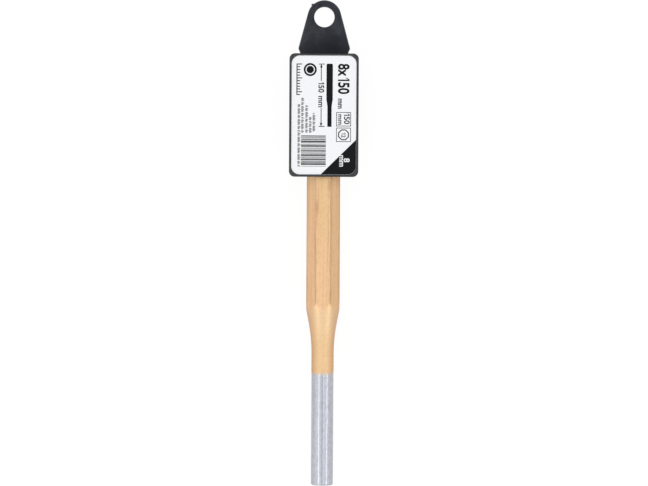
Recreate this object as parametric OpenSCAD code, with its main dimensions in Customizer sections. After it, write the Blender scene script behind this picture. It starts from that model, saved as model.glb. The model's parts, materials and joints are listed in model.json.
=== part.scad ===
// Pin punch in its hanger: an octagonal driving punch, the moulded hanger that its head end
// is clipped into, and the label stuck in the hanger's panel.
// The whole lies on its back. The punch runs along Y with its tip at the -Y end, the label
// faces +Z, and the rear flat of the octagonal shank rests on Z = 0.

/* [Punch] */
// Length of the punch from tip to head
punch_len = 150; // [140:1:180]
// Diameter of the driving pin
pin_d = 8; // [6:0.1:9]
// Straight length of the pin, from the tip to the hollow of the neck
pin_len = 47.5; // [44:0.5:56]
// Chamfer round the driving end
tip_chamfer = 0.35; // [0.2:0.05:0.8]
// Length that is ground bare of lacquer, from the tip
bare_len = 40.7; // [25:0.1:42]
// Thickness of the lacquer
lacquer_t = 0.04; // [0.02:0.01:0.1]
// Radius of the hollow that leads from the pin into the neck
neck_hollow_r = 60; // [40:1:75]
// Angle between the neck's cone and the axis
neck_angle = 10.6; // [8:0.1:12]
// Distance across the flats of the octagonal shank
shank_af = 12.1; // [11.6:0.1:13]
// Rounding of the shank's long edges
shank_edge_r = 0.8; // [0.4:0.1:1.4]
// Length of the bevel that takes the octagon's corners off the head
head_bevel_len = 3; // [2:0.1:4]
// Diameter of the struck face
struck_d = 9.6; // [8:0.1:10.5]
// Height of the struck face's crown
crown_h = 0.5; // [0.2:0.05:1]

/* [Hanger panel] */
// Width of the panel
panel_w = 25; // [22:0.5:32]
// Height of the panel along the tool
panel_h = 44.5; // [42:0.5:60]
// Thickness of the panel behind the label
panel_t = 1.5; // [1.2:0.1:2.5]
// Radius of the panel's corners
panel_corner_r = 2; // [1.5:0.1:3]
// Rounding of the hanger's outer edges
edge_round = 0.4; // [0.2:0.05:0.5]
// Width of the rim round the label
rim_w = 0.75; // [0.6:0.05:1.5]
// Height of the rim above the label's floor
rim_h = 0.35; // [0.25:0.05:0.8]
// Length of shank that the hanger covers
covered_len = 38.2; // [34:0.1:39]
// Room between the shank's flats and the hanger
grip_clearance = 0.1; // [0.05:0.05:0.3]

/* [Hanger tab] */
// Thickness of the tab
tab_t = 1.3; // [1:0.1:1.5]
// Diameter of the hanging hole
hole_d = 7.3; // [6:0.1:9]
// Height of the hole's centre above the panel
hole_rise = 13.1; // [11:0.1:16]
// Radius of the tab's round top
tab_top_r = 6.1; // [5.5:0.1:7]
// Greatest width of the tab
tab_w = 18.6; // [16:0.1:21]
// Height above the panel at which the tab is widest
tab_wide_rise = 1.8; // [1.2:0.1:3]
// Width of the tab's foot where it meets the panel
tab_foot_w = 16.3; // [14:0.1:18]
// Radius of the tab's lower corners
tab_corner_r = 0.8; // [0.6:0.1:1.2]
// Width of the moulding gate's stub on the round top
gate_w = 0.9; // [0.5:0.1:1.5]
// Height of the gate's stub
gate_h = 0.4; // [0.2:0.1:0.8]
// Angle of the gate's stub, counted from the tool's right side
gate_angle = 133.5; // [60:0.5:160]

/* [Hanger clips] */
// Thickness of a clip's jaw
jaw_t = 1.5; // [1.2:0.1:1.6]
// Length of a clip along the tool
jaw_len = 12; // [8:0.5:15]
// Distance from the panel's lower edge, and from the head, to the nearest clip
jaw_inset = 2; // [1:0.5:3]
// How far a jaw's lip reaches in under the shank
lip_reach = 1.3; // [0.8:0.1:1.5]
// Radius of the fillet at the root of a jaw
jaw_fillet_r = 0.8; // [0.4:0.1:1.2]
// Thickness of the wall that stops the head
stop_t = 1.5; // [1:0.1:2]
// Width of the stop wall
stop_w = 11; // [8:0.5:14]
// Room between the head and the stop wall
stop_gap = 0.2; // [0.1:0.05:0.4]
// Length of the web behind the stop wall
web_len = 3.5; // [2:0.5:4]

/* [Label] */
// Thickness of the label
label_t = 0.15; // [0.1:0.01:0.2]
// Radius of the label's corners
label_corner_r = 3; // [1:0.1:4]
// Room between the label's edge and the rim
label_gap = 0.05; // [0.03:0.01:0.2]

/* [Hidden] */
$fn = 96;
// How far a cutting shape runs past the face that it cuts
overrun = 1;

// The octagon
sides = 8;
side_angle = 360 / sides;
half_side_angle = side_angle / 2;
flat_r = shank_af / 2;
ridge_r = flat_r / cos(half_side_angle);

// The punch's profile, with lengths counted from the tip
pin_r = pin_d / 2;
coated_pin_r = pin_r + lacquer_t;
cone_start_r = coated_pin_r + neck_hollow_r * (1 - cos(neck_angle));
cone_start = pin_len + neck_hollow_r * sin(neck_angle);
cone_end = cone_start + (ridge_r - cone_start_r) / tan(neck_angle);
struck_r = struck_d / 2;
crown_r = (struck_r * struck_r + crown_h * crown_h) / (2 * crown_h);

// Places along the tool
overall_len = punch_len - covered_len + panel_h + hole_rise + tab_top_r;
tip_y = -overall_len / 2;
head_y = tip_y + punch_len;
panel_low_y = head_y - covered_len;
panel_mid_y = panel_low_y + panel_h / 2;
panel_top_y = panel_low_y + panel_h;
hole_y = panel_top_y + hole_rise;

// Heights above the rear flat
axis_z = flat_r;
panel_back_z = shank_af + grip_clearance;
label_floor_z = panel_back_z + panel_t;
slab_t = panel_t + rim_h;

// The label's outline and its recess
recess_w = panel_w - 2 * rim_w;
recess_h = panel_h - 2 * rim_w;
recess_corner_r = label_corner_r + label_gap;
label_w = recess_w - 2 * label_gap;
label_h = recess_h - 2 * label_gap;

// A clip's jaw, which follows the octagon at a distance
grip_r = flat_r + grip_clearance;
jaw_out_r = grip_r + jaw_t;
jaw_root_z = panel_back_z + panel_t / 2;
jaw_bend_z = axis_z - grip_r * tan(half_side_angle);
jaw_out_bend_z = axis_z - jaw_out_r * tan(half_side_angle);
lip_inner = [grip_r - lip_reach, jaw_bend_z - lip_reach];
lip_outer = lip_inner + jaw_t * [sin(side_angle), -cos(side_angle)];
jaw_ends_y = [panel_low_y + jaw_inset + jaw_len, head_y - jaw_inset];

// The stop wall reaches down to the punch's axis
stop_y = head_y + stop_gap;

// Turn a shape that stands on Z so that it lies along the punch's axis, from the tip on
module along_punch() {
    translate([0, tip_y, axis_z])
        rotate([-90, 0, 0])
            children();
}

// Extrude a cross-section, drawn as X and height, by length, up to y_end
module across(y_end, length) {
    translate([0, y_end, 0])
        rotate([90, 0, 0])
            linear_extrude(length)
                children();
}

module rounded_rect(w, h, r) {
    square([w - 2 * r, h], center = true);
    square([w, h - 2 * r], center = true);
    for (x = [-1, 1], y = [-1, 1])
        translate([x * (w / 2 - r), y * (h / 2 - r)])
            circle(r);
}

// An octagon with rounded corners, as bars between opposite flats and a circle in each corner
module rounded_octagon(af, r) {
    core_r = (af / 2 - r) / cos(half_side_angle);
    for (i = [0 : sides / 2 - 1])
        rotate(i * side_angle)
            square([2 * core_r * sin(half_side_angle), af], center = true);
    rotate(half_side_angle)
        circle(core_r, $fn = sides);
    for (i = [0 : sides - 1])
        rotate(i * side_angle + half_side_angle)
            translate([core_r, 0])
                circle(r);
}

// Half of the punch as turned: coated pin, hollow, cone, body, head bevel and crown
module turned_profile() {
    difference() {
        polygon([
            [0, bare_len],
            [coated_pin_r, bare_len],
            [coated_pin_r, pin_len],
            [cone_start_r, cone_start],
            [ridge_r, cone_end],
            [ridge_r, punch_len - head_bevel_len],
            [struck_r, punch_len - crown_h],
            [struck_r, punch_len],
            [0, punch_len]
        ]);
        translate([coated_pin_r + neck_hollow_r, pin_len])
            circle(neck_hollow_r);
        difference() {
            translate([0, punch_len - crown_h])
                square([struck_r + overrun, crown_h + overrun]);
            translate([0, punch_len - crown_r])
                circle(crown_r);
        }
    }
}

// The lacquered steel: an octagonal bar cut down by the turned profile, which leaves pointed
// arches where the neck's cone runs out into the flats
module lacquered_body() {
    intersection() {
        linear_extrude(punch_len)
            rounded_octagon(shank_af, shank_edge_r);
        rotate_extrude()
            turned_profile();
    }
}

module bare_pin() {
    rotate_extrude()
        polygon([
            [0, 0],
            [pin_r - tip_chamfer, 0],
            [pin_r, tip_chamfer],
            [pin_r, bare_len],
            [0, bare_len]
        ]);
}

module punch() {
    along_punch() {
        color("#f0c898")
            lacquered_body();
        color("#bdc0cb")
            bare_pin();
    }
}

// A round plate with both edges rounded, standing on Z = 0
module round_plate(r, t) {
    rotate_extrude($fn = 32) {
        translate([0, edge_round])
            square([r, t - 2 * edge_round]);
        square([r - edge_round, t]);
        for (z = [edge_round, t - edge_round])
            translate([r - edge_round, z])
                intersection() {
                    circle(edge_round, $fn = 16);
                    translate([0, -edge_round])
                        square([edge_round, 2 * edge_round]);
                }
    }
}

module panel_slab() {
    hull()
        for (x = [-1, 1], y = [-1, 1])
            translate([
                x * (panel_w / 2 - panel_corner_r),
                panel_mid_y + y * (panel_h / 2 - panel_corner_r),
                panel_back_z
            ])
                round_plate(panel_corner_r, slab_t);
}

// The tab narrows upwards to its round top, and its lower corners turn in to the foot
module tab_plate() {
    hull() {
        translate([0, hole_y, panel_back_z])
            round_plate(tab_top_r, tab_t);
        for (x = [-1, 1]) {
            translate([x * (tab_w / 2 - tab_corner_r), panel_top_y + tab_wide_rise, panel_back_z])
                round_plate(tab_corner_r, tab_t);
            translate([x * (tab_foot_w / 2 - tab_corner_r), panel_top_y - tab_corner_r, panel_back_z])
                round_plate(tab_corner_r, tab_t);
        }
    }
}

module gate_stub() {
    translate([0, hole_y, panel_back_z + edge_round])
        rotate(gate_angle)
            translate([tab_top_r - edge_round, -gate_w / 2, 0])
                cube([gate_h + edge_round, gate_w, tab_t - 2 * edge_round]);
}

// Cross-section of the right-hand jaw: a wall with an in-turned lip, a bead and a root fillet
module jaw_section() {
    polygon([
        [grip_r, jaw_root_z],
        [jaw_out_r, jaw_root_z],
        [jaw_out_r, jaw_out_bend_z],
        lip_outer,
        lip_inner,
        [grip_r, jaw_bend_z]
    ]);
    translate((lip_inner + lip_outer) / 2)
        circle(jaw_t / 2);
    difference() {
        translate([jaw_out_r, panel_back_z - jaw_fillet_r])
            square([jaw_fillet_r, jaw_fillet_r + panel_t / 2]);
        translate([jaw_out_r + jaw_fillet_r, panel_back_z - jaw_fillet_r])
            circle(jaw_fillet_r);
    }
}

module head_stop() {
    across(stop_y + stop_t, stop_t)
        translate([-stop_w / 2, axis_z])
            square([stop_w, jaw_root_z - axis_z]);
    translate([-stop_t / 2, stop_y + stop_t, 0])
        rotate([90, 0, 90])
            linear_extrude(stop_t)
                polygon([[0, axis_z], [web_len, panel_back_z], [web_len, jaw_root_z], [0, jaw_root_z]]);
}

module hanger() {
    color("#2f3337") {
        difference() {
            union() {
                panel_slab();
                tab_plate();
                gate_stub();
            }
            translate([0, panel_mid_y, label_floor_z])
                linear_extrude(rim_h + overrun)
                    rounded_rect(recess_w, recess_h, recess_corner_r);
            translate([0, hole_y, panel_back_z - overrun])
                cylinder(d = hole_d, h = tab_t + 2 * overrun);
        }
        for (side = [0, 1], y_end = jaw_ends_y)
            mirror([side, 0, 0])
                across(y_end, jaw_len)
                    jaw_section();
        head_stop();
    }
}

module label() {
    color("#f1f2f5")
        translate([0, panel_mid_y, label_floor_z])
            linear_extrude(label_t)
                rounded_rect(label_w, label_h, label_corner_r);
}

punch();
hanger();
label();
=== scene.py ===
import json

import bpy
import numpy as np
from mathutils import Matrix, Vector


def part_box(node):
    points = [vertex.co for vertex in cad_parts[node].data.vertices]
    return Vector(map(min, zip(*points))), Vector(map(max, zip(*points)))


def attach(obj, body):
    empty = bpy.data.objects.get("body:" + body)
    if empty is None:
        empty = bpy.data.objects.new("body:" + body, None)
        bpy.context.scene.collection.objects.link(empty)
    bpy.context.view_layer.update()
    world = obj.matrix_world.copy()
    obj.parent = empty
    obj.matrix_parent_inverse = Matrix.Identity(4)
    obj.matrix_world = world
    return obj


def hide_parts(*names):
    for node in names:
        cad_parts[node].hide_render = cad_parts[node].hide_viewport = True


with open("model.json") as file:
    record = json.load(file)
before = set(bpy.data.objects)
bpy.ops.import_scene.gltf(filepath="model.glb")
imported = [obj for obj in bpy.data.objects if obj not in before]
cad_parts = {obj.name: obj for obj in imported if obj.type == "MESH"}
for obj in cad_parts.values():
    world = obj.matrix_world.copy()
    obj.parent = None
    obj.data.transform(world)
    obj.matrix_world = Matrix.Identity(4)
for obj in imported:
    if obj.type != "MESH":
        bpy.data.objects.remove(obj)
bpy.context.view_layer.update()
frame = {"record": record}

# Punch: one bar of tool steel, drawn to an octagon and turned down through a hollow neck to a
# straight pin, with a bevelled and crowned head. It is sprayed with satin gold lacquer, and the
# working length of the pin is then ground bare.
mounts = {mount["name"]: mount for mount in frame["record"]["mounts"]}
punch_low, punch_high = np.array(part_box("punch"))
tip_y = punch_low[1]
punch_len = punch_high[1] - punch_low[1]
flat_r = (punch_high[0] - punch_low[0]) / 2
axis_z = punch_low[2] + flat_r
pin_r = mounts["driving_pin"]["dims"]["r_mm"] / 1000
pin_len = 0.0475
tip_chamfer = 0.00035
bare_len = 0.0407
lacquer_t = 0.00004
lacquer_fade = 0.0004
hollow_r = 0.060
neck_angle = np.radians(10.6)
ridge_round = 0.0008
head_bevel_len = 0.003
struck_r = 0.0048
crown_h = 0.0005
crease_soft = 0.00003

sides = 8
half_side = np.pi / sides
ridge_r = flat_r / np.cos(half_side)
flat_end = np.arctan((flat_r - ridge_round) * np.tan(half_side) / flat_r)
hollow_run = hollow_r * np.sin(neck_angle)
cone_start = pin_len + hollow_run
bevel_slope = (ridge_r - struck_r) / (head_bevel_len - crown_h)
crown_r = (struck_r**2 + crown_h**2) / (2 * crown_h)


def octagon_radius(turn):
    """Polar radius of the shank: flat_r / cos(a) on a flat, where a is the angle from the flat's
    middle, and a circle of ridge_round set into each corner where the flats would meet."""
    off_flat = np.abs((turn + half_side) % (2 * half_side) - half_side)
    off_ridge = half_side - off_flat
    corner_at = (flat_r - ridge_round) / np.cos(half_side)
    inside = np.maximum(ridge_round**2 - (corner_at * np.sin(off_ridge)) ** 2, 0)
    corner = corner_at * np.cos(off_ridge) + np.sqrt(inside)
    return np.where(off_flat < flat_end, flat_r / np.cos(off_flat), corner)


def turned_radius(s):
    """Radius of the turned form at s from the tip: the least of the tip's chamfer, the shaft (pin,
    then a circle tangent to it, then a cone tangent to that), the head's bevel and its crown."""
    chamfer = pin_r - tip_chamfer + s
    coat = lacquer_t * np.clip((s - bare_len) / lacquer_fade, 0, 1)
    hollow = hollow_r - np.sqrt(hollow_r**2 - np.clip(s - pin_len, 0, hollow_run) ** 2)
    cone = np.tan(neck_angle) * np.maximum(s - cone_start, 0)
    shaft = pin_r + coat + hollow + cone
    bevel = struck_r + bevel_slope * (punch_len - crown_h - s)
    crown = np.sqrt(np.maximum(crown_r**2 - np.maximum(s - punch_len + crown_r, 0) ** 2, 0))
    return np.minimum(np.minimum(chamfer, shaft), np.minimum(bevel, crown))


def near(value, middle, reach):
    """A smooth hump, x * x * (3 - 2 * x): 1 at middle, falling to 0 at reach on either side."""
    x = np.clip(1 - np.abs(value - middle) / reach, 0, 1)
    return x * x * (3 - 2 * x)


def mark_points(mesh, name, values):
    """Keeps a number for each point of a mesh, for its finish to read."""
    kept = mesh.attributes.new(name, "FLOAT", "POINT")
    kept.data.foreach_set("value", values.astype(np.float32).ravel())


def add_object(name, data):
    """An object for a mesh, curve, lamp or camera, put in the scene."""
    added = bpy.data.objects.new(name, data)
    bpy.context.scene.collection.objects.link(added)
    return added


sharp_angle = np.radians(30)


def make_piece(name, *skins):
    """Mesh object over one or more grids of points, each as (points, capped, edge). A grid's rows
    are closed loops, joined by quads. A capped grid's end rows are filled, any other grid closes
    into a ring by joining its last row to its first. edge says how near an edge each point is."""
    points, edges, faces, first = [], [], [], 0
    for grid, capped, edge in skins:
        index = first + np.arange(grid.shape[0] * grid.shape[1]).reshape(grid.shape[:2])
        low, high = (index[:-1], index[1:]) if capped else (index, np.roll(index, -1, axis=0))
        quads = np.stack([low, high, np.roll(high, -1, axis=1), np.roll(low, -1, axis=1)], axis=-1)
        faces += quads.reshape(-1, 4).tolist()
        faces += [index[0].tolist(), index[-1, ::-1].tolist()] if capped else []
        points.append(grid.reshape(-1, 3))
        edges.append(np.broadcast_to(edge, index.shape).ravel())
        first += index.size
    mesh = bpy.data.meshes.new(name)
    mesh.from_pydata(np.concatenate(points), [], faces)
    mesh.shade_smooth()
    mesh.set_sharp_from_angle(angle=sharp_angle)
    mark_points(mesh, "edge", np.concatenate(edges))
    return add_object(name, mesh)


class Shade:
    """One value in a node tree. Arithmetic on it adds Math nodes, and node() adds any other node:
    its settings first, then the values or links of its sockets."""

    def __init__(self, tree, socket=None):
        self.tree = tree
        self.socket = socket

    def node(self, kind, sockets, output=0, **settings):
        made = self.tree.nodes.new("ShaderNode" + kind)
        for name, value in settings.items():
            setattr(made, name, value)
        for name, value in sockets.items():
            if isinstance(value, Shade):
                self.tree.links.new(value.socket, made.inputs[name])
            else:
                made.inputs[name].default_value = value
        return Shade(self.tree, made.outputs[output] if made.outputs else None)

    def math(self, operation, *values):
        return self.node("Math", dict(enumerate(values)), operation=operation)

    def __add__(self, other):
        return self.math("ADD", self, other)

    def __radd__(self, other):
        return self.math("ADD", other, self)

    def __sub__(self, other):
        return self.math("SUBTRACT", self, other)

    def __rsub__(self, other):
        return self.math("SUBTRACT", other, self)

    def __mul__(self, other):
        return self.math("MULTIPLY", self, other)

    def __rmul__(self, other):
        return self.math("MULTIPLY", other, self)

    def rise(self, start, end):
        """0 before start, 1 after end, and a smooth step between them."""
        ends = {"Value": self, "From Min": start, "From Max": end}
        return self.node("MapRange", ends, interpolation_type="SMOOTHSTEP")

    def tint(self, before, after):
        """The colour before where this value is 0, and after where it is 1."""
        return self.node("Mix", {0: self, 6: before, 7: after}, output=2, data_type="RGBA")

    def grain(self, per_mm, detail=2.0, roughness=0.5):
        """Noise over this place, given in metres, with about per_mm grains to a millimetre along
        X, Y and Z."""
        per_metre = [1000 * n for n in per_mm]
        scaled = self.node("VectorMath", {0: self, 1: per_metre}, operation="MULTIPLY")
        looks = {"Vector": scaled, "Scale": 1.0, "Detail": detail, "Roughness": roughness}
        return self.node("TexNoise", looks)

    def mark(self, name):
        """The number that mark_points kept under this name."""
        return self.node("Attribute", {}, output="Fac", attribute_name=name)

    def bump(self, height, strength, depth):
        """The surface's normal, tilted by a relief of this height."""
        return self.node("Bump", {"Strength": strength, "Distance": depth, "Height": height})


def new_finish(name):
    """A material with an empty node tree, and the place on the piece, in metres, to start from."""
    material = bpy.data.materials.new(name)
    material.use_nodes = True
    material.node_tree.nodes.clear()
    return material, Shade(material.node_tree).node("TexCoord", {}, output="Object")


# Places along the punch from the line where the lacquer ends: how far that line wanders, and where
# the lacquer thins out, its fat edge fades and its dry stretch fades. The turned rings fade at a
# place past the start of the cone.
line_wanders = 0.0012
lacquer_thins = (-0.0014, 0.0011)
fat_edge_fades = (0.0004, 0.0022)
dry_fades = (0.009, 0.020)
rings_from, rings_to = 0.0045, 0.0065
lacquer_relief = 0.000008
grinding_relief = 0.000006


def gold_lacquer(place, along, from_line, coat):
    """Satin gold lacquer with fine flake. It is clouded, streaked along the drawn bar and ringed
    where the neck was turned. It is rubbed and nicked down to brown along the ridges, and it
    carries painted shade: a dark line along the ridges, the head's shoulder and the peaks of the
    arches, and a darker, redder tone where the bar faces sideways. It is fat at its very end but
    dry and dull for some way above that."""
    deep_gold, pale_gold = (0.90, 0.605, 0.29, 1), (1.0, 0.675, 0.36, 1)
    blush_gold, turned_gold = (0.98, 0.57, 0.31, 1), (0.775, 0.56, 0.305, 1)
    fat_gold, flake_gold = (0.88, 0.50, 0.20, 1), (1.0, 0.71, 0.41, 1)
    drawn_brown, mottle_brown = (0.77, 0.45, 0.20, 1), (0.75, 0.46, 0.225, 1)
    rubbed_brown, painted_ridge_shade = (0.52, 0.22, 0.10, 1), (0.56, 0.31, 0.13, 1)
    nick_brown, painted_flank_shade = (0.42, 0.22, 0.11, 1), (0.70, 0.29, 0.13, 1)

    edge = place.mark("edge")
    flank = place.mark("flank")
    fat_edge = coat * (1 - from_line.rise(*fat_edge_fades))
    dry = 1 - from_line.rise(*dry_fades)
    neck = 1 - along.rise(float(cone_start + rings_from), float(cone_start + rings_to))
    flake = place.grain((14, 14, 14), detail=1.0)
    cloud = place.grain((0.16, 0.05, 0.16), detail=3.0)
    blush = place.grain((0.4, 0.03, 0.4))
    drawn = place.grain((2.4, 0.02, 2.4))
    streak = place.grain((1.5, 0.12, 1.5), detail=4.0, roughness=0.65)
    mottle = place.grain((1.2, 0.8, 1.2), detail=4.0, roughness=0.65)
    turned = place.grain((0.05, 2.6, 0.05), detail=3.0, roughness=0.65)
    skin = place.grain((1.6, 1.0, 1.6))
    nick = place.grain((1.3, 0.35, 1.3))

    gold = cloud.rise(0.3, 0.7).tint(deep_gold, pale_gold)
    gold = (blush.rise(0.4, 0.65) * 0.55).tint(gold, blush_gold)
    gold = ((1 - neck) * drawn.rise(0.4, 0.70) * 0.6).tint(gold, drawn_brown)
    gold = (mottle.rise(0.45, 0.65) * 0.45).tint(gold, mottle_brown)
    gold = (neck * (0.45 + turned.rise(0.4, 0.7) * 0.25)).tint(gold, turned_gold)
    gold = (flake.rise(0.45, 0.75) * 0.3).tint(gold, flake_gold)
    gold = (edge * streak.rise(0.45, 0.64) * 0.65).tint(gold, rubbed_brown)
    # Painted shade: a dark line along the ridges, the head's shoulder and the arches' peaks.
    gold = (edge * edge * edge * flank.rise(0.02, 0.14) * 0.75).tint(gold, painted_ridge_shade)
    gold = (fat_edge * 0.25).tint(gold, fat_gold)
    gold = (nick.rise(0.74, 0.80) * 0.45).tint(gold, nick_brown)
    # Painted shade: the lacquer is darker and redder where the bar faces sideways.
    gold = (flank.rise(0.0, 0.7) * 0.42).tint(gold, painted_flank_shade)
    height = skin * 0.6 + flake * 0.3 + neck * turned * 0.25
    return place.node("BsdfPrincipled", {
        "Base Color": gold,
        "Metallic": 0.5,
        "Roughness": 0.47 + skin * 0.08 + dry * 0.12,
        "Coat Weight": 0.9 - dry * 0.6,
        "Coat Roughness": 0.42,
        "Coat IOR": 1.65,
        "Normal": place.bump(height, 0.5, lacquer_relief),
    })


def ground_steel(place):
    """Bare steel, ground round and round and then oiled: blotched and stained where the oil lies
    thick, and darker in streaks along the pin where it was wiped."""
    dark_steel, bright_steel = (0.46, 0.48, 0.55, 1), (0.57, 0.595, 0.675, 1)
    stain_grey, wiped_grey = (0.72, 0.75, 0.83, 1), (0.44, 0.46, 0.53, 1)
    ground_grey = (0.50, 0.525, 0.60, 1)

    grind = place.grain((0.25, 11, 0.25), detail=4.0, roughness=0.75)
    blotch = place.grain((0.8, 0.35, 0.8), detail=3.0, roughness=0.6)
    stain = place.grain((1.4, 0.7, 1.4), detail=5.0, roughness=0.7)
    wiped = place.grain((2.0, 0.035, 2.0), detail=3.0, roughness=0.6)
    steel = blotch.rise(0.3, 0.7).tint(dark_steel, bright_steel)
    steel = (stain.rise(0.41, 0.59) * 0.72).tint(steel, stain_grey)
    steel = (wiped.rise(0.42, 0.60) * 0.42).tint(steel, wiped_grey)
    steel = (grind.rise(0.4, 0.6) * 0.4).tint(steel, ground_grey)
    return place.node("BsdfPrincipled", {
        "Base Color": steel,
        "Metallic": 1.0,
        "Roughness": 0.40 + grind * 0.14 + stain * 0.14,
        "Coat Weight": 1.0,
        "Coat Roughness": 0.12,
        "Coat IOR": 2.4,
        "Normal": place.bump(grind, 0.25, grinding_relief),
    })


def lacquered_steel():
    """Gold lacquer that thins out at a ragged line round the pin, and ground steel beyond it."""
    material, place = new_finish("lacquered_steel")
    along = place.node("SeparateXYZ", {0: place}, output="Y") - float(tip_y)
    ragged = place.grain((0.45, 0.3, 0.45), detail=4.0) - 0.5
    from_line = along - bare_len + ragged * line_wanders
    coat = from_line.rise(*lacquer_thins)
    lacquer = gold_lacquer(place, along, from_line, coat)
    surface = place.node("MixShader", {0: coat, 1: ground_steel(place), 2: lacquer})
    place.node("OutputMaterial", {"Surface": surface})
    return material


# Around the punch the columns crowd into the rounded ridges, and along it the rows follow the
# pointed arches where the cone, and the head's bevel, run out into the flats.
flat_columns = np.linspace(-flat_end, flat_end, 14, endpoint=False)
ridge_columns = np.linspace(flat_end, 2 * half_side - flat_end, 10, endpoint=False)
one_side = np.concatenate([flat_columns, ridge_columns])
turn = (np.arange(sides)[:, None] * 2 * half_side + one_side).ravel()
bar_r = octagon_radius(turn)
arch_s = cone_start + (bar_r - turned_radius(cone_start)) / np.tan(neck_angle)
shoulder_s = punch_len - crown_h - (bar_r - struck_r) / bevel_slope
arch_mid, shoulder_mid = arch_s.mean(), shoulder_s.mean()
arch_reach = 0.006
shoulder_reach = 0.0017
row_space = 0.001
crown_end = 0.0002
steps_mm = np.array([0.01, 0.03, 0.06, 0.1, 0.16, 0.25, 0.4, 0.6, 0.9, 1.3, 1.8, 2.5, 3.4, 4.5])
both_ways = np.concatenate([-steps_mm[::-1], [0], steps_mm]) / 1000
short_way = both_ways[np.abs(both_ways) < shoulder_reach]
crown_turn = np.linspace(np.arcsin(struck_r / crown_r), crown_end, 12)
rows_s = np.concatenate([
    [0, tip_chamfer],
    np.linspace(row_space, bare_len, 20),
    bare_len + lacquer_fade * np.linspace(0.25, 1, 4),
    np.linspace(bare_len + row_space, pin_len, 5),
    np.linspace(pin_len, cone_start, 26)[1:],
    arch_mid + both_ways,
    np.linspace(arch_mid + arch_reach, shoulder_mid - head_bevel_len, 18),
    shoulder_mid + short_way,
    punch_len - crown_r + crown_r * np.cos(crown_turn),
])
rows_s = np.unique(rows_s)[:, None]
to_arch = near(rows_s, arch_mid, arch_reach)
to_shoulder = near(rows_s, shoulder_mid, shoulder_reach)
s = rows_s + to_arch * (arch_s - arch_mid) + to_shoulder * (shoulder_s - shoulder_mid)
lathe_r = turned_radius(s)
r = (bar_r + lathe_r - np.sqrt((bar_r - lathe_r) ** 2 + crease_soft**2)) / 2
bar_points = np.stack([r * np.cos(turn), tip_y + s, axis_z + r * np.sin(turn)], axis=-1)

# The lacquer is rubbed, and carries painted shade, along the ridges, at the head's shoulder and
# over the peaks of the arches. A point's flank is 0 where the surface faces straight up or down,
# and 1 where it faces sideways; the painted shade is left off where it faces straight up.
shoulder_rub_shade = 0.0005
arch_rub_shade_lift, arch_rub_shade, arch_rub_shade_share = 0.0004, 0.0006, 0.6
on_ridge = near(bar_r, ridge_r, ridge_r - flat_r) * (lathe_r > bar_r)
on_shoulder = near(s, shoulder_s, shoulder_rub_shade)
peak = (arch_s - arch_s.min()) / np.ptp(arch_s)
over_arch = near(s, arch_s + arch_rub_shade_lift, arch_rub_shade) * arch_rub_shade_share * peak
rub_and_shade = np.maximum(np.maximum(on_ridge, on_shoulder), over_arch)
along_row = np.roll(bar_points, -1, axis=1) - np.roll(bar_points, 1, axis=1)
flank = 1 - np.abs(along_row[..., 0]) / np.hypot(along_row[..., 0], along_row[..., 2])
punch_piece = make_piece("punch_bar", (bar_points, True, rub_and_shade))
mark_points(punch_piece.data, "flank", flank)
punch_piece.data.materials.append(lacquered_steel())
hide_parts("punch")
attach(punch_piece, "punch")

# Hanger: one black moulding in polypropylene. A panel with a raised rim carries the label, a tab
# with a round hole hangs it on a hook, and clips behind the panel snap over the shank, with a
# wall that stops the head.
hanger_low, hanger_high = np.array(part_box("hanger"))
label_low, label_high = np.array(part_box("label"))
hole_y = mounts["hang_hole"]["pos_m"][1]
hole_r = mounts["hang_hole"]["dims"]["r_mm"] / 1000
tab_t = mounts["hang_hole"]["dims"]["length_mm"] / 1000
panel_h = 0.0445
panel_t = 0.0015
panel_corner_r = 0.002
recess_corner_r = 0.00305
least_corner_r = 0.0005
edge_round = 0.0004
rim_w = 0.00075
rim_round = 0.00012
panel_half_w = (hanger_high[0] - hanger_low[0]) / 2
panel_half_h = panel_h / 2
panel_low_y = hanger_low[1]
panel_mid_y = panel_low_y + panel_half_h
panel_top_y = panel_low_y + panel_h
panel_front_z = hanger_high[2]
label_floor_z = label_low[2]
panel_back_z = label_floor_z - panel_t
back_insets = np.array([0.011, 0.006, 0.003, 0.0015])
floor_insets = np.array([rim_w, 0.0015, 0.004, 0.011])


def rounded_loops(half_w, half_h, corner_r, mid_y, z):
    """Loops of points round rectangles with round corners, one for each row of the sizes, about
    mid_y and at that row's z. A loop is four quarter circles, each followed by points along the
    straight side to the next one."""
    per_corner, per_side = 14, 10
    half_w, half_h, corner_r = (np.reshape(v, (-1, 1, 1)) for v in (half_w, half_h, corner_r))
    quarter = np.arange(4)[:, None] * np.pi / 2
    lean = quarter + np.linspace(0, np.pi / 2, per_corner)
    side_x = np.sign(np.cos(quarter + np.pi / 4))
    side_y = np.sign(np.sin(quarter + np.pi / 4))
    x = side_x * (half_w - corner_r) + corner_r * np.cos(lean)
    y = side_y * (half_h - corner_r) + corner_r * np.sin(lean)
    arcs = np.stack([x, y], axis=-1)
    share = (np.arange(1, per_side + 1) / (per_side + 1))[:, None]
    leaving, meeting = arcs[:, :, -1:], np.roll(arcs, -1, axis=1)[:, :, :1]
    straights = leaving + share * (meeting - leaving)
    loops = np.concatenate([arcs, straights], axis=2).reshape(len(z), -1, 2)
    z = np.broadcast_to(z[:, None], loops.shape[:2])
    return np.dstack([loops[..., 0], loops[..., 1] + mid_y, z])


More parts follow.
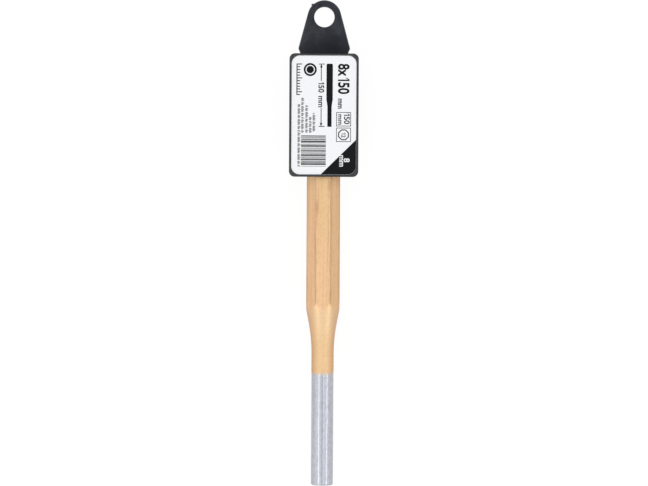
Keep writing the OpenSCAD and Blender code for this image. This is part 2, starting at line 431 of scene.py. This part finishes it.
def panel_grid():
    """A section carried round the panel's outline, from the middle of the back, over the rounded
    outer edges and the rim, down to the label's floor."""
    bend = np.linspace(0, np.pi / 2, 6)
    lip = np.linspace(0, np.pi / 2, 4)
    inset = np.concatenate([
        back_insets,
        edge_round * (1 - np.sin(bend)),
        edge_round * (1 - np.cos(bend)),
        rim_w - rim_round + rim_round * np.sin(lip),
        floor_insets,
    ])
    z = np.concatenate([
        np.full(len(back_insets), panel_back_z),
        panel_back_z + edge_round * (1 - np.cos(bend)),
        panel_front_z - edge_round * (1 - np.sin(bend)),
        panel_front_z - rim_round * (1 - np.cos(lip)),
        np.full(len(floor_insets), label_floor_z),
    ])
    edge = np.concatenate([
        np.zeros(len(back_insets)),
        np.sin(2 * bend) / 2,
        np.sin(bend) ** 4,
        np.ones(len(lip)),
        np.zeros(len(floor_insets)),
    ])
    to_recess = np.clip((inset - edge_round) / (rim_w - edge_round), 0, 1)
    inner_r = panel_corner_r + to_recess * (recess_corner_r - panel_corner_r)
    outer_r = np.maximum(panel_corner_r - inset, least_corner_r)
    inward = np.arange(len(inset)) >= len(back_insets) + 2 * len(bend)
    corner_r = np.minimum(np.where(inward, inner_r, outer_r), panel_half_w - inset)
    half_w, half_h = panel_half_w - inset, panel_half_h - inset
    return rounded_loops(half_w, half_h, corner_r, panel_mid_y, z), True, edge[:, None]


def headings(lean):
    """Unit vectors at these angles from the first axis towards the second."""
    return np.stack([np.cos(lean), np.sin(lean)], axis=-1)


def band_outline(centres, radii, count):
    """A band wrapped round circles, as count points evenly spaced along it, with their normals.
    The band leaves circle i for the next one where n . (next - this) = r - r_next."""
    step = np.roll(centres, -1, axis=0) - centres
    heading = np.arctan2(step[:, 1], step[:, 0])
    shrink = (radii - np.roll(radii, -1)) / np.hypot(step[:, 0], step[:, 1])
    leaves = heading - np.arccos(shrink)
    comes = np.roll(leaves, 1)
    swing = (leaves - comes) % (2 * np.pi)
    lean = comes[:, None] + swing[:, None] * np.linspace(0, 1, 40)
    outline = (centres[:, None] + radii[:, None, None] * headings(lean)).reshape(-1, 2)
    outline = np.concatenate([outline, outline[:1]])
    lean = np.append(np.unwrap(lean.ravel()), lean.ravel()[0] + 2 * np.pi)
    length = np.append(0, np.hypot(*np.diff(outline, axis=0).T).cumsum())
    at = np.linspace(0, length[-1], count, endpoint=False)
    x, y = np.interp(at, length, outline[:, 0]), np.interp(at, length, outline[:, 1])
    return np.stack([x, y], axis=-1), headings(np.interp(at, length, lean))


tab_w, tab_foot_w = 0.0186, 0.0163
tab_notch_h = 0.0018
tab_top_r = 0.0061
tab_corner_r = 0.0008
hole_round = 0.0002
outline_points = 480
tab_wide_x = tab_w / 2 - tab_corner_r
tab_foot_x = tab_foot_w / 2 - tab_corner_r
tab_wide_y = panel_top_y + tab_notch_h
tab_foot_y = panel_top_y - tab_corner_r


def tab_grid():
    """A section carried round the tab: each column runs from the hole's wall over the front, round
    the outer edge and back behind, and the hole's points lie at the outline's own bearings."""
    centres = np.array([
        [0, hole_y], [-tab_wide_x, tab_wide_y], [-tab_foot_x, tab_foot_y],
        [tab_foot_x, tab_foot_y], [tab_wide_x, tab_wide_y],
    ])
    radii = np.array([tab_top_r] + [tab_corner_r] * 4)
    outline, normal = band_outline(centres, radii, outline_points)
    bearing = outline - [0, hole_y]
    bearing = bearing / np.hypot(bearing[:, :1], bearing[:, 1:])
    lip = np.linspace(0, np.pi / 2, 5)[:, None, None]
    bend = np.linspace(0, np.pi / 2, 6)[:, None, None]
    hole_front = [0, hole_y] + bearing * (hole_r + hole_round * (1 - np.cos(lip)))
    edge_front = outline - normal * edge_round * (1 - np.sin(bend))
    across = np.concatenate([hole_front, edge_front, edge_front[::-1], hole_front[::-1]])
    depth = np.concatenate([hole_round * (1 - np.sin(lip)), edge_round * (1 - np.cos(bend))])
    z = np.concatenate([panel_back_z + tab_t - depth, panel_back_z + depth[::-1]])
    lip_edge, bend_edge = np.sin(2 * lip)[..., 0], np.sin(2 * bend)[..., 0]
    edge = np.concatenate([lip_edge, bend_edge, bend_edge, lip_edge])
    return np.dstack([across, np.broadcast_to(z[..., 0], across.shape[:2])]), False, edge


grip_clearance = 0.0001
jaw_t = 0.0015
jaw_len = 0.012
jaw_inset = 0.002
jaw_fillet_r = 0.0008
lip_reach = 0.0013
stop_t = 0.0015
stop_half_w = 0.0055
stop_gap = 0.0002
web_len = 0.0035
web_lift = 0.0002
head_y = punch_high[1]
stop_y = head_y + stop_gap
root_z = panel_back_z + edge_round


def jaw_section():
    """Right-hand clip in section, as X and Z: a wall that follows the octagon at a clearance, with
    an in-turned lip, a half-round bead and a fillet at the root."""
    inner = flat_r + grip_clearance
    outer = inner + jaw_t
    bend_z = axis_z - inner * np.tan(half_side)
    outer_bend_z = axis_z - outer * np.tan(half_side)
    lip_end = np.array([inner - lip_reach, bend_z - lip_reach])
    bead_middle = lip_end + jaw_t / 2 * np.array([np.sqrt(0.5), -np.sqrt(0.5)])
    bead = bead_middle + jaw_t / 2 * headings(np.radians(np.linspace(135, 315, 13)))
    root_middle = np.array([outer + jaw_fillet_r, panel_back_z - jaw_fillet_r])
    root = root_middle + jaw_fillet_r * headings(np.radians(np.linspace(180, 90, 9)))
    return np.concatenate([
        [[inner, root_z], [inner, bend_z]],
        bead,
        [[outer, outer_bend_z]],
        root,
        [[outer + jaw_fillet_r, root_z]],
    ])


def carried(section, y_start, y_end, mirror=1):
    """A section in X and Z, carried straight along Y. mirror is -1 for the left-hand twin, whose
    points then run the other way round."""
    section = section[::mirror] * [mirror, 1]
    y = np.broadcast_to(np.array([y_start, y_end])[:, None], (2, len(section)))
    x, z = np.broadcast_to(section.T[:, None], (2, 2, len(section)))
    return np.dstack([x, y, z]), True, 0.0


def web_grid():
    """The web behind the stop wall: a triangle in Y and Z, let into the wall and into the panel,
    and carried across X."""
    back_y = stop_y + stop_t
    corners = np.array([
        [back_y - stop_t / 2, axis_z + web_lift], [back_y, axis_z + web_lift],
        [back_y + web_len, panel_back_z], [back_y + web_len, root_z], [back_y - stop_t / 2, root_z],
    ])
    x = np.broadcast_to(np.array([-stop_t / 2, stop_t / 2])[:, None], (2, len(corners)))
    y, z = np.broadcast_to(corners.T[:, None], (2, 2, len(corners)))
    return np.dstack([x, y, z]), True, 0.0


gate_bearing = np.radians(133.5)
gate_reach = np.array([-0.0005, 0.0, 0.00025, 0.0004])
gate_half_w = np.array([0.00062, 0.0005, 0.00045, 0.00036])
gate_height_share = 0.8
gate_tear = 0.00008


def gate_grid():
    """The stub that the moulding's gate leaves on the tab's round top: four loops that shrink a
    little from the tab outwards, with the last one torn off at a slant."""
    out = headings(gate_bearing)
    along = headings(gate_bearing + np.pi / 2)
    corner = np.array([[-1, -1], [1, -1], [1, 1], [-1, 1]])
    tear = np.array([0, 0, 0, 1])[:, None] * corner[:, 0] * gate_tear
    reach = tab_top_r + gate_reach[:, None] + tear
    aside = gate_half_w[:, None] * corner[:, 0]
    flat = reach[..., None] * out + aside[..., None] * along
    z = panel_back_z + tab_t / 2 + gate_half_w[:, None] * corner[:, 1] * gate_height_share
    return np.dstack([flat + [0, hole_y], z]), True, 0.0


# The painted sheen round the hang hole: how far aside of the hole it is centred, how ragged it is, and
# where it fades out.
sheen_off_x = 0.0012
sheen_ragged = 0.003
sheen_ends = (0.003, 0.0105)
mould_relief = 0.000012


def moulded_plastic():
    """Black polypropylene with the fine grain of a spark-eroded mould, faint flow marks along the
    tool and specks of dust. A painted sheen makes it paler round the hole, and the edges are paler
    from rubbing and from a painted highlight."""
    deep_black, flow_black = (0.0016, 0.0030, 0.0072, 1), (0.0036, 0.0060, 0.0120, 1)
    painted_sheen_grey, scuff_highlight_grey = (0.028, 0.0315, 0.040, 1), (0.105, 0.105, 0.105, 1)
    dust_grey = (0.14, 0.145, 0.15, 1)

    material, place = new_finish("black_plastic")
    pits = place.grain((9, 9, 9), roughness=0.6)
    flow = place.grain((0.35, 0.06, 0.35), detail=3.0)
    rub = place.grain((1.4, 0.9, 1.4), detail=4.0, roughness=0.65)
    dust = place.grain((4.5, 4.5, 4.5), detail=1.0)
    sheen_patches = place.grain((0.3, 0.22, 0.3), detail=4.0, roughness=0.6)
    # Painted highlight with rubbed wear: the edges and the rim's top are paler, and rougher.
    scuff_and_highlight = place.mark("edge") * (0.6 + rub.rise(0.4, 0.7) * 0.4)
    ends = {0: place, 1: (0.0, float(hole_y), float(panel_back_z))}
    from_hole = place.node("VectorMath", ends, output="Value", operation="DISTANCE")
    aside = place.math("ABSOLUTE", place.node("SeparateXYZ", {0: place}, output="X") - sheen_off_x)
    faded = from_hole - aside * 0.75 + (rub - 0.5) * sheen_ragged
    # Painted sheen: the plastic is paler round the hang hole.
    painted_sheen = 1 - faded.rise(*sheen_ends)
    black = flow.rise(0.3, 0.7).tint(deep_black, flow_black)
    black = (painted_sheen * (0.45 + sheen_patches.rise(0.35, 0.65) * 0.65)).tint(black, painted_sheen_grey)
    black = (scuff_and_highlight * 0.6).tint(black, scuff_highlight_grey)
    black = (dust.rise(0.70, 0.77) * 0.32).tint(black, dust_grey)
    surface = place.node("BsdfPrincipled", {
        "Base Color": black,
        "Roughness": 0.24 + flow * 0.12 + scuff_and_highlight * 0.15,
        "Specular IOR Level": 0.35,
        "Normal": place.bump(pits, 0.6, mould_relief),
    })
    place.node("OutputMaterial", {"Surface": surface})
    return material


stop_section = np.array([
    [-stop_half_w, axis_z], [stop_half_w, axis_z], [stop_half_w, root_z], [-stop_half_w, root_z],
])
jaw_starts = [panel_low_y + jaw_inset, head_y - jaw_inset - jaw_len]
jaws = [carried(jaw_section(), y, y + jaw_len, side) for y in jaw_starts for side in (1, -1)]
hanger_piece = make_piece(
    "hanger_moulding",
    panel_grid(),
    tab_grid(),
    gate_grid(),
    carried(stop_section, stop_y, stop_y + stop_t),
    web_grid(),
    *jaws,
)
soft_edge_w = 0.00015
soft_edge_angle = np.radians(40)
soft_edges = hanger_piece.modifiers.new("soft_edges", "BEVEL")
soft_edges.width = soft_edge_w
soft_edges.segments = 3
soft_edges.limit_method = "ANGLE"
soft_edges.angle_limit = soft_edge_angle
hanger_piece.data.materials.append(moulded_plastic())
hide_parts("hanger")
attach(hanger_piece, "hanger")

# Label: a white paper sticker with a clear satin varnish, die-cut with round corners and stuck by
# hand into the panel's recess, a little inside the rim.
label_half_w = (label_high[0] - label_low[0]) / 2
label_half_h = (label_high[1] - label_low[1]) / 2
label_mid_y = (label_high[1] + label_low[1]) / 2
label_top_z = label_high[2]
label_corner_r = 0.003
cut_round = 0.00004
under_insets = np.array([0.010, 0.004, 0])
face_insets = np.array([0.0008, 0.003, 0.010])
varnish_relief = 0.00003


def label_grid():
    """A thin sheet: loops from the middle of the underside, round the cut edge, and in over the
    printed face."""
    cut = np.array([0, cut_round / 3, cut_round])
    inset = np.concatenate([under_insets, cut, face_insets])
    z = np.concatenate([
        np.full(len(under_insets), label_floor_z),
        label_top_z - cut[::-1],
        np.full(len(face_insets), label_top_z),
    ])
    corner_r = np.maximum(label_corner_r - inset, least_corner_r)
    half_w, half_h = label_half_w - inset, label_half_h - inset
    return rounded_loops(half_w, half_h, corner_r, label_mid_y, z), True, 0.0


def varnished_paper(name):
    """White paper under satin varnish: faint fibres in the tone, and a skin with a slight ripple."""
    fibre_white, paper_white = (0.88, 0.89, 0.915, 1), (0.93, 0.935, 0.955, 1)

    material, place = new_finish(name)
    fibre = place.grain((3.2, 3.2, 3.2), detail=4.0, roughness=0.6)
    ripple = place.grain((0.22, 0.16, 0.22))
    surface = place.node("BsdfPrincipled", {
        "Base Color": fibre.rise(0.35, 0.7).tint(fibre_white, paper_white),
        "Roughness": 0.40 + fibre * 0.12,
        "Specular IOR Level": 0.4,
        "Normal": place.bump(ripple * 0.9 + fibre * 0.1, 0.35, varnish_relief),
    })
    place.node("OutputMaterial", {"Surface": surface})
    return material


label_piece = make_piece("label_sheet", label_grid())
label_piece.data.materials.append(varnished_paper("label_paper"))
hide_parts("label")
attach(label_piece, "hanger")

# Print: black ink laid on the label by thermal transfer. It reads down the label, so a place in it
# is how far down from the label's top edge, and how far up the print from its left edge.
ink_t = 0.000012
ring_sides = 64
one_stem_share, one_flag_share, one_gap_share, one_fold_share = 0.165, 0.2, 0.14, 0.76


def bars(down_from, down_to, up_from, up_to):
    """Flat rectangles, one for each entry of the arrays, as points and triangles."""
    ends = np.stack(np.broadcast_arrays(down_from, down_to, up_from, up_to), axis=-1).reshape(-1, 4)
    points = ends[:, [[0, 2], [1, 2], [1, 3], [0, 3]]].reshape(-1, 2)
    corners = np.array([[0, 1, 2], [0, 2, 3]])
    return points, (4 * np.arange(len(ends))[:, None, None] + corners).reshape(-1, 3)


def ring(down, up, outer, inner):
    """A flat ring between two circles, as pairs of triangles round it."""
    circle = headings(np.linspace(0, 2 * np.pi, ring_sides, endpoint=False))
    points = np.concatenate([circle * outer, circle * inner]) + [down, up]
    this = np.arange(ring_sides)
    following = (this + 1) % ring_sides
    outer_half = np.stack([this, following, following + ring_sides], axis=-1)
    inner_half = np.stack([this, following + ring_sides, this + ring_sides], axis=-1)
    return points, np.concatenate([outer_half, inner_half])


def strip(one_side, other_side):
    """A flat strip between two lines of the same number of points."""
    count = len(one_side)
    this = np.arange(count - 1)
    first_half = np.stack([this, this + 1, this + 1 + count], axis=-1)
    second_half = np.stack([this, this + 1 + count, this + count], axis=-1)
    return np.concatenate([one_side, other_side]), np.concatenate([first_half, second_half])


def filled(outline):
    """A flat convex outline, filled by triangles from its first point."""
    outline = np.asarray(outline, float)
    middle = np.arange(1, len(outline) - 1)
    return outline, np.stack([0 * middle, middle, middle + 1], axis=-1)


def numerals(text, height, down, up, weight, squeeze=1.0):
    """Plain numerals or a unit in the built-in typeface, made a mesh and then scaled to a height and
    put with their lower left corner at a place. weight thickens the strokes."""
    curve = bpy.data.curves.new("numerals", "FONT")
    curve.body = text
    curve.offset = weight
    curve.resolution_u = 6
    maker = add_object("numerals", curve)
    shown = maker.evaluated_get(bpy.context.evaluated_depsgraph_get())
    flat = bpy.data.meshes.new_from_object(shown)
    points = np.empty(3 * len(flat.vertices))
    flat.vertices.foreach_get("co", points)
    points = points.reshape(-1, 3)[:, :2]
    flat.calc_loop_triangles()
    corners = np.empty(3 * len(flat.loop_triangles), int)
    flat.loop_triangles.foreach_get("vertices", corners)
    bpy.data.objects.remove(maker)
    bpy.data.curves.remove(curve)
    bpy.data.meshes.remove(flat)
    low, high = points.min(axis=0), points.max(axis=0)
    points = (points - low) * height / (high[1] - low[1]) * [squeeze, 1] + [down, up]
    return points, corners.reshape(-1, 3)


def with_one(before, after, height, down, up, weight, squeeze=1.0):
    """Numerals with a 1 among them, set one after the other. The 1 is a bar with a slanted flag at
    its head, which the typeface leaves out."""
    wide = height * squeeze
    stem, reach, gap = one_stem_share * wide, one_flag_share * wide, one_gap_share * wide
    shapes = []
    if before:
        shapes.append(numerals(before, height, down, up, weight, squeeze))
        down = shapes[0][0][:, 0].max() + gap
    head, fold = up + height, up + one_fold_share * height
    stem_at = down + reach
    shapes.append(bars(stem_at, stem_at + stem, up, head))
    shapes.append(filled([[stem_at, head], [down, fold], [down, fold - stem], [stem_at, head - stem]]))
    shapes.append(numerals(after, height, stem_at + stem + gap, up, weight, squeeze))
    return shapes


def make_print(name, shapes, lift):
    """Joins flat shapes into one thin layer on the label: down and up in the print become -Y and X."""
    starts = np.cumsum([0] + [len(points) for points, _ in shapes[:-1]])
    points = np.concatenate([points for points, _ in shapes])
    corners = np.concatenate([corners + start for start, (_, corners) in zip(starts, shapes)])
    x = label_low[0] + points[:, 1]
    y = label_high[1] - points[:, 0]
    z = np.full(len(x), label_top_z + lift)
    a, b, c = (np.stack([x, y], axis=-1)[corners[:, k]] for k in range(3))
    upward = (b - a)[:, 0] * (c - a)[:, 1] - (b - a)[:, 1] * (c - a)[:, 0] > 0
    corners = np.where(upward[:, None], corners, corners[:, ::-1])
    mesh = bpy.data.meshes.new(name)
    mesh.from_pydata(np.stack([x, y, z], axis=-1), [], corners.tolist())
    piece = add_object(name, mesh)
    layer = piece.modifiers.new("ink_thickness", "SOLIDIFY")
    layer.thickness = ink_t
    layer.offset = 1
    return piece


def transfer_ink():
    """Black wax ink, a little uneven where the paper's fibres take it."""
    full_black, thin_black = (0.0025, 0.0030, 0.0040, 1), (0.0065, 0.0070, 0.0085, 1)

    material, place = new_finish("label_ink")
    fibre = place.grain((6, 6, 6), detail=3.0, roughness=0.6)
    surface = place.node("BsdfPrincipled", {
        "Base Color": fibre.rise(0.35, 0.75).tint(full_black, thin_black),
        "Roughness": 0.22 + fibre * 0.10,
        "Specular IOR Level": 0.25,
    })
    place.node("OutputMaterial", {"Surface": surface})
    return material


# The black corner keeps a thin margin of paper along the label's cut edge.
margin = 0.00006
corner_down, corner_up = 0.0303, 0.01065
label_w, label_h = 2 * label_half_w, 2 * label_half_h
corner_middle = np.array([label_h - label_corner_r, label_w - label_corner_r])
corner_out = headings(np.linspace(np.pi / 2, 0, 16))
black_corner = filled(np.concatenate([
    [[corner_down, label_w - margin]],
    corner_middle + (label_corner_r - margin) * corner_out,
    [[label_h - margin, corner_up]],
]))

# A drawing of the punch, drawn a little fat.
left_margin = 0.00295
line_end = 0.0257
drawn_up = 0.01372
drawn_fat = 1.25
drawn_scale = (line_end - left_margin) / punch_len
drawn_s = np.concatenate([
    np.linspace(0, pin_len, 4),
    np.linspace(cone_start, arch_s.max(), 10),
    [punch_len - head_bevel_len, punch_len],
])
drawn_r = np.minimum(flat_r, turned_radius(np.clip(drawn_s, tip_chamfer, punch_len - crown_h)))
drawn_down = line_end - drawn_s * drawn_scale
drawn_half = drawn_r * drawn_scale * drawn_fat
drawn_punch = strip(
    np.stack([drawn_down, drawn_up + drawn_half], axis=-1),
    np.stack([drawn_down, drawn_up - drawn_half], axis=-1),
)

# A dimension line under the drawing, with its length.
line_up, line_t = 0.0107, 0.00028
line_gap_from, line_gap_to = 0.0092, 0.0190
end_below, end_above = 0.0009, 0.0013
arrow_len, arrow_half = 0.0014, 0.00045
length_h, length_unit_h, length_weight = 0.0021, 0.0014, 0.022
length_down, length_unit_down = 0.0096, 0.0146
length_up = line_up - length_h / 2
line_low, line_high = line_up - line_t / 2, line_up + line_t / 2
end_low, end_high = line_up - end_below, line_up + end_above
arrow_low, arrow_high = line_up - arrow_half, line_up + arrow_half
arrow_ends = ((left_margin, left_margin + arrow_len), (line_end, line_end - arrow_len))
dimension = [
    bars([left_margin, line_end - line_t], [left_margin + line_t, line_end], end_low, end_high),
    bars([left_margin, line_gap_to], [line_gap_from, line_end], line_low, line_high),
    *[filled([[tip, line_up], [back, arrow_high], [back, arrow_low]]) for tip, back in arrow_ends],
    *with_one("", "50", length_h, length_down, length_up, length_weight),
    numerals("mm", length_unit_h, length_unit_down, length_up, length_weight),
]

# Stripes whose widths follow the multiples of the golden ratio, and rows of small strokes.
golden = 0.618034
stripe_total = 55
stripe_phase, stripe_spread, ink_spread = 0.2, 3.4, 0.25
stripe_from, stripe_to = 0.02885, 0.0400
stripe_low, stripe_high = 0.0035, 0.01246
stripe_count = np.arange(1, stripe_total + 1)
inked = stripe_count % 2
stripe_chance = (stripe_count * np.where(inked, golden, golden**3) + stripe_phase) % 1
stripe_widths = 1 + np.floor(stripe_spread * stripe_chance**2) + np.where(inked, ink_spread, 0.0)
stripe_edges = np.append(0, stripe_widths.cumsum()) / stripe_widths.sum()
stripe_at = stripe_from + stripe_edges * (stripe_to - stripe_from)
stripes = bars(stripe_at[0:-1:2], stripe_at[1::2], stripe_low, stripe_high)

stroke_pitch, stroke_w, stroke_h = 0.00030, 0.00019, 0.00105
low_stroke_share, tall_from, gap_below = 0.72, 0.75, 0.17


def strokes(down_from, down_to, up, phase):
    """A row of small upright strokes, set out backwards from down_to: the multiples of the golden
    ratio give which strokes stand tall and which are left out as gaps."""
    count = np.arange(int((down_to - down_from) / stroke_pitch))
    chance = (count * golden + phase) % 1
    kept = chance > gap_below
    end = down_to - count[kept] * stroke_pitch
    tall = np.where(chance[kept] > tall_from, stroke_h, low_stroke_share * stroke_h)
    return bars(end - stroke_w, end, up, up + tall)


# Each row of strokes: where it starts and ends, how far up the print it is, and its phase.
small_rows = (
    (0.0207, 0.0276, 0.00766, 0.10),
    (0.0218, 0.0278, 0.00637, 0.35),
    (0.0176, 0.0278, 0.00503, 0.62),
    (0.0151, 0.0278, 0.00355, 0.27),
    (0.0172, 0.0400, 0.00226, 0.81),
)

# A scale of millimetres at its true size, and the bar's section in a ring.
millimetre = 0.001
tick_w, long_tick_h, short_tick_h = 0.00034, 0.0017, 0.0010
scale_up = 0.0021
tick = np.arange(12)
tick_h = np.where(tick % 5 == 0, long_tick_h, short_tick_h)
tick_from = left_margin + tick * millimetre
tick_to = tick_from + tick_w
section_down, section_up, section_r = 0.0051, 0.0067, 0.0014
ring_outer, ring_inner = 0.00235, 0.00168


def octagon(down, up, radius):
    """The corners of an octagon with a flat side up, and the first of them again."""
    return [down, up] + radius * headings(half_side * (2 * np.arange(sides + 1) + 1))


# The size in large numerals, and two boxes: the length, and the bar's width across its flats.
title_h, title_up, title_weight, title_squeeze = 0.0042, 0.0167, 0.03, 0.78
title_unit_h, title_unit_down, title_unit_squeeze = 0.0014, 0.0155, 0.9
box_low, box_high, box_line, box_weight = 0.01617, 0.02147, 0.00022, 0.02
length_box, width_box = (0.0204, 0.0255), (0.0260, 0.0311)
boxed_h, boxed_down, boxed_up = 0.0021, 0.02092, 0.01895
boxed_unit_h, boxed_unit_down, boxed_unit_up, boxed_unit_squeeze = 0.0012, 0.0212, 0.01680, 1.05
flats_down, flats_up, flats_outer, flats_inner = 0.02855, 0.01882, 0.0021, 0.0017
width_h, width_down, width_up, width_weight = 0.0015, 0.02782, 0.01807, 0.018


def frame_bars(down_from, down_to):
    """The outline of a box, as four bars."""
    return bars(
        [down_from, down_from, down_from, down_to - box_line],
        [down_to, down_to, down_from + box_line, down_to],
        [box_low, box_high - box_line, box_low + box_line, box_low + box_line],
        [box_low + box_line, box_high, box_high - box_line, box_high - box_line],
    )


ink_shapes = [
    black_corner,
    drawn_punch,
    *dimension,
    stripes,
    *[strokes(*row) for row in small_rows],
    bars(tick_from, tick_to, scale_up, scale_up + tick_h),
    bars(tick_from[0], tick_to[-1], scale_up - tick_w, scale_up),
    ring(section_down, section_up, ring_outer, ring_inner),
    filled(octagon(section_down, section_up, section_r)[:-1]),
    *with_one("8x", "50", title_h, left_margin, title_up, title_weight, title_squeeze),
    numerals("mm", title_unit_h, title_unit_down, title_up, title_weight, title_unit_squeeze),
    frame_bars(*length_box),
    frame_bars(*width_box),
    *with_one("", "50", boxed_h, boxed_down, boxed_up, box_weight),
    numerals("mm", boxed_unit_h, boxed_unit_down, boxed_unit_up, box_weight, boxed_unit_squeeze),
    strip(octagon(flats_down, flats_up, flats_outer), octagon(flats_down, flats_up, flats_inner)),
    *with_one("", "2", width_h, width_down, width_up, width_weight),
]
print_piece = make_print("label_print", ink_shapes, 0.0)
print_piece.data.materials.append(transfer_ink())
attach(print_piece, "hanger")

# Size mark: the pin's size in the black corner, left white by the ink. It is drawn as a thin layer
# of the label's own paper on top of the black.
mark_h, mark_down, mark_up = 0.0022, 0.0370, 0.0189
mark_unit_h, mark_unit_down, mark_unit_up = 0.0014, 0.0359, 0.0173
mark_weight = 0.02
size_shapes = [
    numerals("8", mark_h, mark_down, mark_up, mark_weight),
    numerals("mm", mark_unit_h, mark_unit_down, mark_unit_up, mark_weight),
]
size_piece = make_print("label_size_mark", size_shapes, ink_t)
size_piece.data.materials.append(varnished_paper("label_paper_mark"))
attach(size_piece, "hanger")

# Floor: a wide sheet of white paper under the tool. To the camera it glows a little, so that it
# reads as a plain white ground, and it still takes the tool's soft shadow.
floor_half = 3.0
floor_mesh = bpy.data.meshes.new("floor")
floor_corners = np.array([[-1, -1, 0], [1, -1, 0], [1, 1, 0], [-1, 1, 0]]) * floor_half
floor_mesh.from_pydata(floor_corners, [], [[0, 1, 2, 3]])
floor = add_object("floor", floor_mesh)


def white_ground():
    """Matt pale paper. A camera ray sees most of it as plain white, and so does a glossy one."""
    paper_grey = (0.45, 0.45, 0.45, 1)
    plain_glow, seen_glow = 0.8, 0.42
    seen_share, mirrored_share = 0.75, 0.8

    material, place = new_finish("white_ground")
    seen = place.node("LightPath", {}, output="Is Camera Ray")
    mirrored = place.node("LightPath", {}, output="Is Glossy Ray")
    matt = place.node("BsdfDiffuse", {"Color": paper_grey})
    glow = place.node("Emission", {"Color": seen * seen_glow + plain_glow})
    white = seen * seen_share + mirrored * mirrored_share
    place.node("OutputMaterial", {"Surface": place.node("MixShader", {0: white, 1: matt, 2: glow})})
    return material


floor_mesh.materials.append(white_ground())

# Light: a white tent, a little brighter on the left and overhead, with a dimmer opening that the
# camera looks through. Long strip lamps hang on each side, beyond the tip and beyond the tab, and
# three short tubes hang over the pin, whose oiled steel mirrors them as thin lines.
horizon_glow, zenith_glow, left_glow = 0.69, 0.89, 0.11
opening_dimming = 0.62
opening_edge = (0.955, 0.985)
world = bpy.data.worlds.new("tent")
bpy.context.scene.world = world
world.use_nodes = True
world.node_tree.nodes.clear()
sky = Shade(world.node_tree).node("TexCoord", {}, output="Generated")
upward = sky.math("MAXIMUM", sky.node("SeparateXYZ", {0: sky}, output="Z"), 0.0)
rightward = sky.node("SeparateXYZ", {0: sky}, output="X")
seen = sky.node("LightPath", {}, output="Is Camera Ray")
tent = horizon_glow + upward * (zenith_glow - horizon_glow) - rightward * left_glow
tent = tent * (1 - upward.rise(*opening_edge) * opening_dimming)
backing = sky.node("Background", {"Color": seen + (1 - seen) * tent})
sky.node("OutputWorld", {"Surface": backing})

lamp_away = 0.60
strip_len, strip_w, strip_y = 0.80, 0.09, 0.60
tube_len, tube_w, tube_y = 0.12, 0.055, -0.12


def hang_lamp(name, lean_degrees, y, width, length, glow):
    """A flat lamp at lamp_away from the tool's axis, leaning over to one side and parallel to it."""
    lean = np.radians(lean_degrees)
    lamp = bpy.data.lights.new(name, "AREA")
    lamp.shape = "RECTANGLE"
    lamp.size = width
    lamp.size_y = length
    lamp.energy = np.pi * width * length * glow
    hung = add_object(name, lamp)
    hung.location = (lamp_away * np.sin(lean), y, lamp_away * np.cos(lean))
    hung.rotation_euler = (0, lean, 0)


for side, lean_degrees, tip_glow, tab_glow in (("left", -39, 3.2, 2.5), ("right", 45, 4.4, 3.4)):
    hang_lamp(f"strip_{side}_low", lean_degrees, -strip_y, strip_w, strip_len, tip_glow)
    hang_lamp(f"strip_{side}_high", lean_degrees, strip_y, strip_w, strip_len, tab_glow)
for side, lean_degrees, glow in (("left", -36, 2.9), ("right", 50, 3.7), ("above", 12, 1.7)):
    hang_lamp(f"tube_{side}", lean_degrees, tube_y, tube_w, tube_len, glow)

# Camera: straight above the tool with a long lens, and rolled a little, as the photograph is. The
# view's width is measured at the height of the punch's axis.
view_w = 0.23584
view_x, view_y = 0.00030, 0.00018
lens_mm, sensor_mm = 120, 36
camera_roll = 0.0055
camera_data = bpy.data.cameras.new("camera")
camera_data.lens = lens_mm
camera_data.sensor_width = sensor_mm
camera = add_object("camera", camera_data)
camera.location = (view_x, view_y, axis_z + view_w * lens_mm / sensor_mm)
camera.rotation_euler = (0, 0, camera_roll)
bpy.context.scene.camera = camera
bpy.context.scene.view_settings.view_transform = "Standard"
